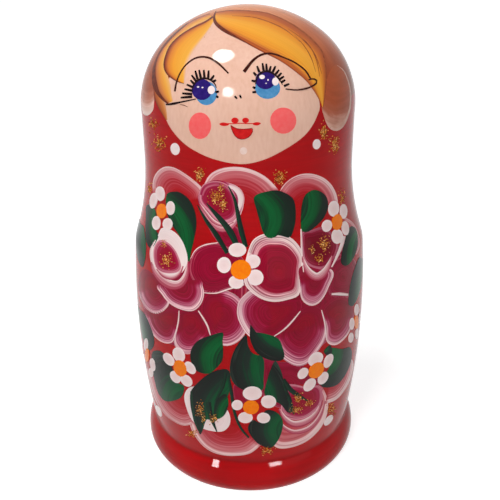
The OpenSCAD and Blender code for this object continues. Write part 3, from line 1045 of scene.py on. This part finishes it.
# leaves, each a double-loaded stroke, green on one side and dark on the other:
# finish, layer, base, tip, whether the left side is the dark one, rim
leaves = {
    "centre": ("leafGreen", 6, (270, 191), (277, 238), False, [
        (253.6, 198), (258, 194), (265.4, 191.8), (276, 190.2), (285.4, 193), (293, 198.6), (295.4, 208),
        (295.4, 220), (293, 231), (290, 237.4), (284, 236.6), (278, 235), (273, 238), (267, 237.4),
        (262.4, 231), (259, 219), (256, 208)]),
    "upperRight": ("leafGreen", 7, (308, 232), (318, 190), True, [
        (300.8, 215.8), (301.5, 206.5), (303.8, 197.3), (308.5, 192), (314.6, 189.8), (322.3, 192.5),
        (327, 198.8), (327.7, 208), (323.8, 217.3), (317, 225), (308.5, 231.4), (302.3, 231.6),
        (300.6, 225)]),
    "upperLeft": ("leafGreen", 4, (168, 198), (192, 250), False, [
        (167, 194), (173, 191.6), (180, 192.2), (188.5, 198.8), (194.6, 210), (196.6, 223.5), (194.4, 238),
        (191.4, 251), (189, 263), (186, 251), (180.8, 238), (173.4, 227), (168.5, 217.3), (166, 205)]),
    "sideLeft": ("leafGreen", 5, (150, 205), (152, 248), True, [
        (146.6, 206), (151.5, 204.6), (156, 212), (157, 222), (156, 230), (159, 235), (156.4, 242),
        (151.5, 248.4), (147, 243.4), (145.6, 232), (146, 218)]),
    "rimLeft": ("leafDark", 5, (139, 224), (142, 266), True, [
        (138.6, 223.5), (143.8, 226.5), (145, 234.2), (146.2, 245), (145.6, 257), (143, 267), (139, 262),
        (136.6, 251), (134.6, 239), (136, 228)]),
    "sideRight": ("leafGreen", 7, (353, 227), (344, 265), True, [
        (351.5, 226), (356.4, 231), (357.4, 245), (353.4, 257.4), (347, 265.4), (341.3, 264),
        (341.2, 255.8), (344.4, 242), (347.5, 231)]),
    "rimRight": ("leafDark", 6, (360, 258), (351, 305), True, [
        (359.4, 257), (362.8, 263.5), (361.4, 282), (358, 295.8), (353, 305.6), (348.3, 304), (349, 291),
        (351.3, 278.8), (355.2, 266.4)]),
    "lowerFirst": ("leafGreen", 6, (207, 373), (220, 334), False, [
        (223, 332.4), (210, 335.6), (199, 340), (192, 347.7), (190.4, 357), (193, 366.4), (199.2, 372),
        (208.5, 373.6), (216.4, 368), (222.4, 360), (223.2, 349), (222.6, 340)]),
    "lowerSecond": ("leafDark", 5, (246, 390), (248, 335), False, [
        (246.4, 334.6), (238, 344), (232.3, 355), (229.8, 367.7), (232, 380.4), (240.4, 388.4),
        (251.5, 391.4), (262.6, 389.6), (263.6, 378.5), (263.4, 358), (253, 353.4), (248, 345)]),
    "lowerThird": ("leafDark", 6, (252, 328), (283, 356), True, [
        (250.6, 324.4), (253, 331.2), (265.4, 333.6), (278, 338.4), (282.6, 347.7), (284.2, 357.4),
        (278, 361), (267, 359), (257.4, 353.4), (252.6, 346), (249.8, 337)]),
    "lowerBlade": ("leafDark", 6, (275, 362), (289, 411), False, [
        (275.4, 360.6), (281, 370.8), (284, 381.5), (290.2, 397), (292, 411.6), (286.6, 411.6),
        (280.4, 404), (268, 398), (264.2, 392.3), (266.8, 381.5), (270, 370.8)]),
    "lowerLeft": ("leafDark", 4, (152, 388), (182, 366), False, [
        (152.6, 352), (162.4, 352), (171.6, 366), (176.4, 381.5), (184, 386), (181, 397.4), (167, 401.4),
        (159, 394), (155, 381.5), (152.4, 366)]),
    "lowerRight": ("leafGreen", 4, (324, 385), (346, 350), True, [
        (325.4, 349), (330, 347.4), (342.3, 348.8), (350.4, 347.4), (351.2, 360), (345.6, 374),
        (336.4, 385), (323.6, 387.4), (320.4, 381.5), (328.3, 369), (332.8, 355.4)]),
    "lowerRightTip": ("leafDark", 5, (326, 352), (330, 345), True, [
        (323.6, 351.6), (327, 347), (330.4, 344.8), (331.8, 352.6), (328, 356)]),
    "overCup": ("leafDark", 5, (224, 372), (200, 432), True, [
        (190.6, 392.3), (196, 384.4), (207, 375), (219.2, 369.6), (228.8, 370.4), (230.4, 381.5),
        (228.8, 393.8), (222.4, 406), (217.7, 419), (213, 422), (207, 419), (202.4, 431), (200, 434),
        (196, 424.6), (192, 412.3), (190.4, 403)]),
    "overCupGreen": ("leafGreen", 6, (227, 394), (217, 418), True, [
        (216, 401), (225.4, 393.4), (228.6, 402), (227, 410), (223.4, 416), (216.4, 418.8), (214.6, 410)]),
    "edgeLow": ("leafDark", 3, (141, 312), (151, 350), False, [
        (137.6, 310), (144, 313), (149.6, 324), (154, 337), (153.4, 347), (148, 350), (143.4, 340),
        (139.6, 326)]),
    "bottom": ("leafDark", 6, (268, 412), (266, 447), True, [
        (265.4, 410.4), (276.2, 412), (282.6, 420), (281.8, 430.8), (278, 440), (271.5, 447.4),
        (263.8, 446.4), (256, 441.7), (249, 432.3), (248.2, 426), (253, 419.6), (260.8, 422.6)]),
}
for finish, layer, base, tip, darkLeft, rim in leaves.values():
    layLeaf(rim, base, tip, finish, layer, darkLeft)

# dark blades of grass: layer, widths, path
blades = [
    (6, [0.6, 3.6, 5, 4], [(197.4, 205), (206.6, 221), (216, 234), (227.4, 253)]),
    (7, [0.8, 4, 5.6, 7, 5.4], [(206.6, 203), (216.2, 214.2), (225.4, 225), (231.6, 234.2), (236.6, 245)]),
    (7, [0.8, 3, 4.4, 5.6, 4.4], [(228.4, 186), (234.6, 198.8), (238, 214.2), (241, 229.6), (246, 247)]),
    (7, [2, 3.4, 3, 2.6, 1.6], [
        (228.4, 376), (231.5, 392.3), (234.6, 412.3), (240.8, 427.7), (249, 437.6)]),
    (7, [3, 3.4, 2.6, 0.8], [(226, 372), (223, 386), (216.4, 400), (214, 414)]),
    (7, [3, 4.4, 4.6, 1.2], [(192, 391), (193.4, 407), (196.6, 422), (200.6, 434)]),
    (7, [5, 4.6, 0.8], [(208.6, 402), (211, 416), (217, 431.6)]),
    (6, [3, 5, 4.4, 1], [(283.6, 379), (290, 389), (298, 395), (308, 401)]),
    (6, [2, 4.4, 1.6], [(283, 384), (289, 398), (294, 414)]),
]
for layer, widths, path in blades:
    layStroke(path, widths, "bladeDark", layer, keep=5, least=(8, 3))
print("leaves drawn, strokes:", len(strokes))

# daisies, four or five pressed petals round an orange heart: centre, radii, tilt in degrees
daisies = {
    "belly": {
        "heart": ((241, 269.6), (10.3, 10), 0),
        "petals": [
            ((237.4, 249.8), (8.9, 7), 0), ((224.2, 265), (7, 8), 0), ((236.2, 282), (7.6, 6.6), 8),
            ((255.4, 277.4), (8, 8), 0), ((253, 261.4), (7.4, 6.8), -20)],
    },
    "upperLeft": {
        "heart": ((162, 211), (5.1, 7.4), 0),
        "petals": [
            ((160.5, 193.6), (4.6, 7.4), -8), ((170.8, 208), (4.5, 7), 0), ((168, 224), (5, 6), 0),
            ((156.6, 223), (4.2, 7), 0), ((153.8, 200.6), (3.8, 8), 8)],
    },
    "upperRight": {
        "heart": ((336.8, 222), (5.2, 8.2), 6),
        "petals": [
            ((333.4, 208.6), (5.4, 8), 4), ((343.2, 211.4), (3.7, 7.4), 0), ((345, 228.2), (3.6, 7.2), -6),
            ((336.8, 236.4), (5.8, 7.4), 0), ((326.6, 225.8), (4.9, 6.2), 20)],
    },
    "lowerLeft": {
        "heart": ((180.4, 368), (6.2, 8.6), -22),
        "petals": [
            ((179, 354.6), (5.6, 7.8), -28), ((169, 359.2), (4.4, 7.4), -38),
            ((190.4, 367.6), (4.4, 7.2), -40), ((175.6, 376.8), (4.4, 6.8), -35),
            ((186.6, 380.4), (4.8, 7), -45)],
    },
    "lowerMiddle": {
        "heart": ((251, 407), (8, 7), 0),
        "petals": [
            ((252.3, 393), (9.6, 6.9), 0), ((268.5, 401.4), (7.6, 6.4), 0), ((237.2, 404.8), (5.6, 5), 0),
            ((245.4, 417.4), (7.4, 5.4), 0), ((263.5, 417.7), (6.6, 5.2), 0)],
    },
    "lowerRight": {
        "heart": ((316, 370), (6.6, 9.2), 40),
        "petals": [
            ((315.4, 359), (6, 8.4), 48), ((328.2, 360.6), (4, 7.6), 26), ((322.8, 377.9), (4.4, 7), 35),
            ((309.4, 384.6), (4.7, 7.7), 42), ((302.8, 373.2), (4.4, 6.4), 42)],
    },
    "edgeLeft": {
        "heart": ((147.4, 355), (2.1, 7), 0),
        "petals": [
            ((146.4, 344.6), (2.1, 6.4), 0), ((153, 364.6), (2.6, 6.6), -10),
            ((151.4, 372.4), (2.2, 4.6), -10), ((143.4, 357), (1, 6), 0)],
    },
    "edgeRight": {
        "heart": ((356, 322), (2.1, 7), 0),
        "petals": [
            ((356.2, 309.8), (2, 6), 4), ((351.6, 323.6), (2.4, 6), 4), ((350.6, 337.6), (2.4, 5), 8),
            ((359.3, 319.4), (0.9, 6), 0), ((356.4, 333.6), (1.4, 5.4), 4)],
    },
}
for daisy in daisies.values():
    for centre, radii, tilt in daisy["petals"]:
        layDot(centre, radii, "daisyPetal", 10, tilt)
    centre, radii, tilt = daisy["heart"]
    layDot(centre, radii, "daisyHeart", 11, tilt)
print("daisies drawn, strokes:", len(strokes))
paintings = {name: makePainting(brush) for name, brush in brushes.items()}
print("painted, faces:", {name: len(paint.faces) for name, paint in paintings.items()})

# gold glitter strewn on wet glue: small six-sided flakes lying at slightly different tilts
glitter = {
    "seed": 11,
    "flake": (0.1 * mm, 0.24 * mm),  # radius, from and to
    "sides": 6,
    "lift": 0.22 * mm,
    "depth": 0.34 * mm,
    "tilt": 0.3,
    "density": 2.2,              # flakes for each square pixel of the two radii
    "scatter": 0.42,             # how far they fall from the centre, as a share of the radii
    # centre and radii in px
    "spots": [
        ((153, 124), (5, 6)), ((160, 143), (6, 9)), ((324, 132), (5, 9)), ((334.6, 144.6), (5, 10)),
        ((200, 174.4), (6, 7)), ((279.4, 178), (7, 8)), ((341.6, 196.6), (3.4, 8)), ((150, 189), (2.5, 7)),
        ((217, 196), (8, 8)), ((223.8, 205), (5, 6)), ((220.8, 188), (4, 5)), ((167, 260.4), (7, 8)),
        ((163.8, 243.6), (3, 5)), ((323.8, 243.6), (6, 10)), ((311.5, 249.6), (4, 4)), ((319, 259), (5, 5)),
        ((200, 409), (5, 8)), ((203.8, 418.5), (3, 5)), ((213, 418.5), (5, 6)), ((297.7, 398.5), (6, 6)),
        ((297, 409), (6, 6)), ((309, 403), (6, 5)), ((331.5, 408.5), (5, 7)), ((193, 433.6), (6, 4)),
        ((267, 450.6), (7, 5))],
}
flakes = bmesh.new()
flakeFacing = flakes.verts.layers.float_vector.new("facing")
strew = random.Random(glitter["seed"])
for centre, radii in glitter["spots"]:
    for i in range(int(radii[0] * radii[1] * glitter["density"])):
        x = centre[0] + strew.gauss(0, glitter["scatter"]) * radii[0]
        y = centre[1] + strew.gauss(0, glitter["scatter"]) * radii[1]
        point, normal = land(x, y)
        lean = Vector([strew.uniform(-1, 1) for k in range(3)]) * glitter["tilt"]
        turn = (normal + lean).normalized().to_track_quat("Z", "Y").to_matrix().to_4x4()
        spot = Matrix.Translation(point + normal * glitter["lift"]) @ turn
        size = strew.uniform(*glitter["flake"])
        made = bmesh.ops.create_circle(flakes, cap_ends=True, segments=glitter["sides"], radius=size,
                                       matrix=spot)
        for vert in made["verts"]:
            vert[flakeFacing] = normal
print("glitter flakes:", len(flakes.faces))

# every doll of the set carries the same painting at its own size; the small ones leave out fine strokes
outerLow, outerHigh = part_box("doll1_bottom")
seam = {"height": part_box("doll1_top")[0].z, "cut": 1e-8}  # m


# each stroke becomes a closed skin of paint that is rooted in the wood
def thicken(bm, depth):
    facing = bm.verts.layers.float_vector["facing"]
    made = bmesh.ops.extrude_face_region(bm, geom=bm.faces[:], use_keep_orig=True)["geom"]
    for vert in made:
        if isinstance(vert, bmesh.types.BMVert):
            vert.co -= vert[facing] * depth
    bmesh.ops.recalc_face_normals(bm, faces=bm.faces)


def paintDoll(number):
    whole = "doll%d_whole" % number
    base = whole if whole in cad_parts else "doll%d_bottom" % number
    low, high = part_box(base)
    share = (high.x - low.x) / (outerHigh.x - outerLow.x)
    place = Matrix.Translation((0, 0, low.z)) @ Matrix.Scale(share, 4)
    halves = [(whole, None)] if base == whole else [(base, "below"), ("doll%d_top" % number, "above")]
    brush = "fine" if number <= fineDolls else "broad"
    layers = [("painting", paintings[brush], brushes[brush]["depth"], finishNames)]
    if number <= fineDolls:
        layers.append(("glitter", flakes, glitter["depth"], ["goldGlitter"]))
    for body, side in halves:
        for kind, source, depth, materials in layers:
            bm = source.copy()
            if kind == "painting":
                smallest = bm.faces.layers.int["smallestDoll"]
                bmesh.ops.delete(bm, geom=[f for f in bm.faces if f[smallest] < number], context="FACES")
            if side:
                bmesh.ops.bisect_plane(bm, geom=bm.verts[:] + bm.edges[:] + bm.faces[:], dist=seam["cut"],
                                       plane_co=(0, 0, seam["height"]), plane_no=(0, 0, 1),
                                       clear_outer=side == "below", clear_inner=side == "above")
            thicken(bm, depth)
            sharpen(bm)
            bmesh.ops.transform(bm, matrix=place, verts=bm.verts)
            addPiece(bm, body + "_" + kind, body, materials)


for number in range(1, dollCount + 1):
    paintDoll(number)
print("dolls painted")

# studio: white paper floor, a white surround and soft boxes
studio = {
    "floorSide": 3.0,            # m
    "floorSteps": 8,
    "paper": {"roughness": 0.9, "grain": 400.0, "spread": (0.3, 0.7), "tones": (0.61, 0.63)},
    # m from the doll, and strength
    "glow": {"From Min": 0.25, "From Max": 1.2, "To Min": 0.77, "To Max": 0.93},
    "surround": 0.18,
    "aim": (0, 0, 0.1),
    "boxes": {
        # way from the doll, m to it, width and height in m, watts
        "top": ((-0.314, -0.116, 0.942), 0.9, (0.26, 0.12), 3.6),
        "key": ((-0.316, -0.765, 0.562), 0.9, (0.17, 0.16), 2.85),
        "fill": ((0.62, -0.75, 0.3), 0.9, (0.8, 0.7), 1.85),
    },
    "shines": {
        # round lamps and strips that only put a shine on the lacquer; the strips shine on the lower halves
        "topShine": ((-0.314, -0.116, 0.942), 0.88, (0.26, 0.26), 14, "DISK"),
        "keyShine": ((-0.316, -0.765, 0.562), 0.88, (0.15, 0.15), 5, "DISK"),
        "leftStrip": ((-0.573, -0.819, 0.045), 0.9, (0.1, 0.26), 8, "RECTANGLE"),
        "rightStrip": ((0.4, -0.9, 0.13), 0.9, (0.19, 0.1), 5, "RECTANGLE"),
    },
}


# 1 for the rays that show the background itself, straight or in a shine
def addSeen(tree):
    rays = addNode(tree, "LightPath").outputs
    shown = addMath(tree, "MAXIMUM", rays["Is Glossy Ray"], rays["Is Transmission Ray"])
    return addMath(tree, "MAXIMUM", rays["Is Camera Ray"], shown)


def paperFinish():
    paper = studio["paper"]
    mat = bpy.data.materials.new("floorPaper")
    mat.use_nodes = True
    tree = mat.node_tree
    bsdf = tree.nodes["Principled BSDF"]
    bsdf.inputs["Roughness"].default_value = paper["roughness"]
    bsdf.inputs["Specular IOR Level"].default_value = 0.0
    place = addNode(tree, "TexCoord").outputs["Object"]
    noise = addNoise(tree, place, paper["grain"], 3)
    stops = [(spot, (tone, tone, tone, 1)) for spot, tone in zip(paper["spread"], paper["tones"])]
    tree.links.new(addRamp(tree, noise, stops), bsdf.inputs["Base Color"])
    away = addNode(tree, "VectorMath", {0: place}, operation="LENGTH").outputs["Value"]
    white = addNode(tree, "MapRange", {"Value": away, **studio["glow"]}).outputs["Result"]
    strength = addMath(tree, "MULTIPLY", addSeen(tree), white)
    glow = addNode(tree, "Emission", {"Color": (1, 1, 1, 1), "Strength": strength})
    both = addNode(tree, "AddShader", {0: bsdf.outputs["BSDF"], 1: glow.outputs["Emission"]})
    tree.links.new(both.outputs["Shader"], tree.nodes["Material Output"].inputs["Surface"])
    return mat


def addLamp(name, way, away, size, watts, shape="RECTANGLE"):
    lamp = bpy.data.lights.new(name, "AREA")
    lamp.shape = shape
    lamp.size, lamp.size_y = size
    lamp.energy = watts
    obj = bpy.data.objects.new(name, lamp)
    obj.location = Vector(studio["aim"]) + Vector(way).normalized() * away
    obj.rotation_mode = "QUATERNION"
    obj.rotation_quaternion = (-Vector(way)).to_track_quat("-Z", "Y")
    scene.collection.objects.link(obj)
    return obj


def setStudio():
    bm = bmesh.new()
    bmesh.ops.create_grid(bm, x_segments=studio["floorSteps"], y_segments=studio["floorSteps"],
                          size=studio["floorSide"] / 2)
    mesh = bpy.data.meshes.new("floor")
    bm.to_mesh(mesh)
    bm.free()
    mesh.materials.append(paperFinish())
    floor = bpy.data.objects.new("floor", mesh)
    scene.collection.objects.link(floor)
    for name, box in studio["boxes"].items():
        addLamp(name + "Box", *box)
    lowerHalves = bpy.data.collections.new("lowerHalves")
    for node in shells:
        if not node.endswith("_top"):
            lowerHalves.objects.link(shells[node])
    for name, shine in studio["shines"].items():
        lamp = addLamp(name, *shine)
        lamp.visible_diffuse = False
        if name.endswith("Strip"):
            lamp.light_linking.receiver_collection = lowerHalves
    world = bpy.data.worlds.new("surround")
    scene.world = world
    world.use_nodes = True
    tree = world.node_tree
    strength = addMath(tree, "MAXIMUM", addSeen(tree), studio["surround"])
    tree.nodes["Background"].inputs["Color"].default_value = (1, 1, 1, 1)
    tree.links.new(strength, tree.nodes["Background"].inputs["Strength"])


setStudio()
print("studio set")

for bm in (*paintings.values(), flakes):
    bm.free()
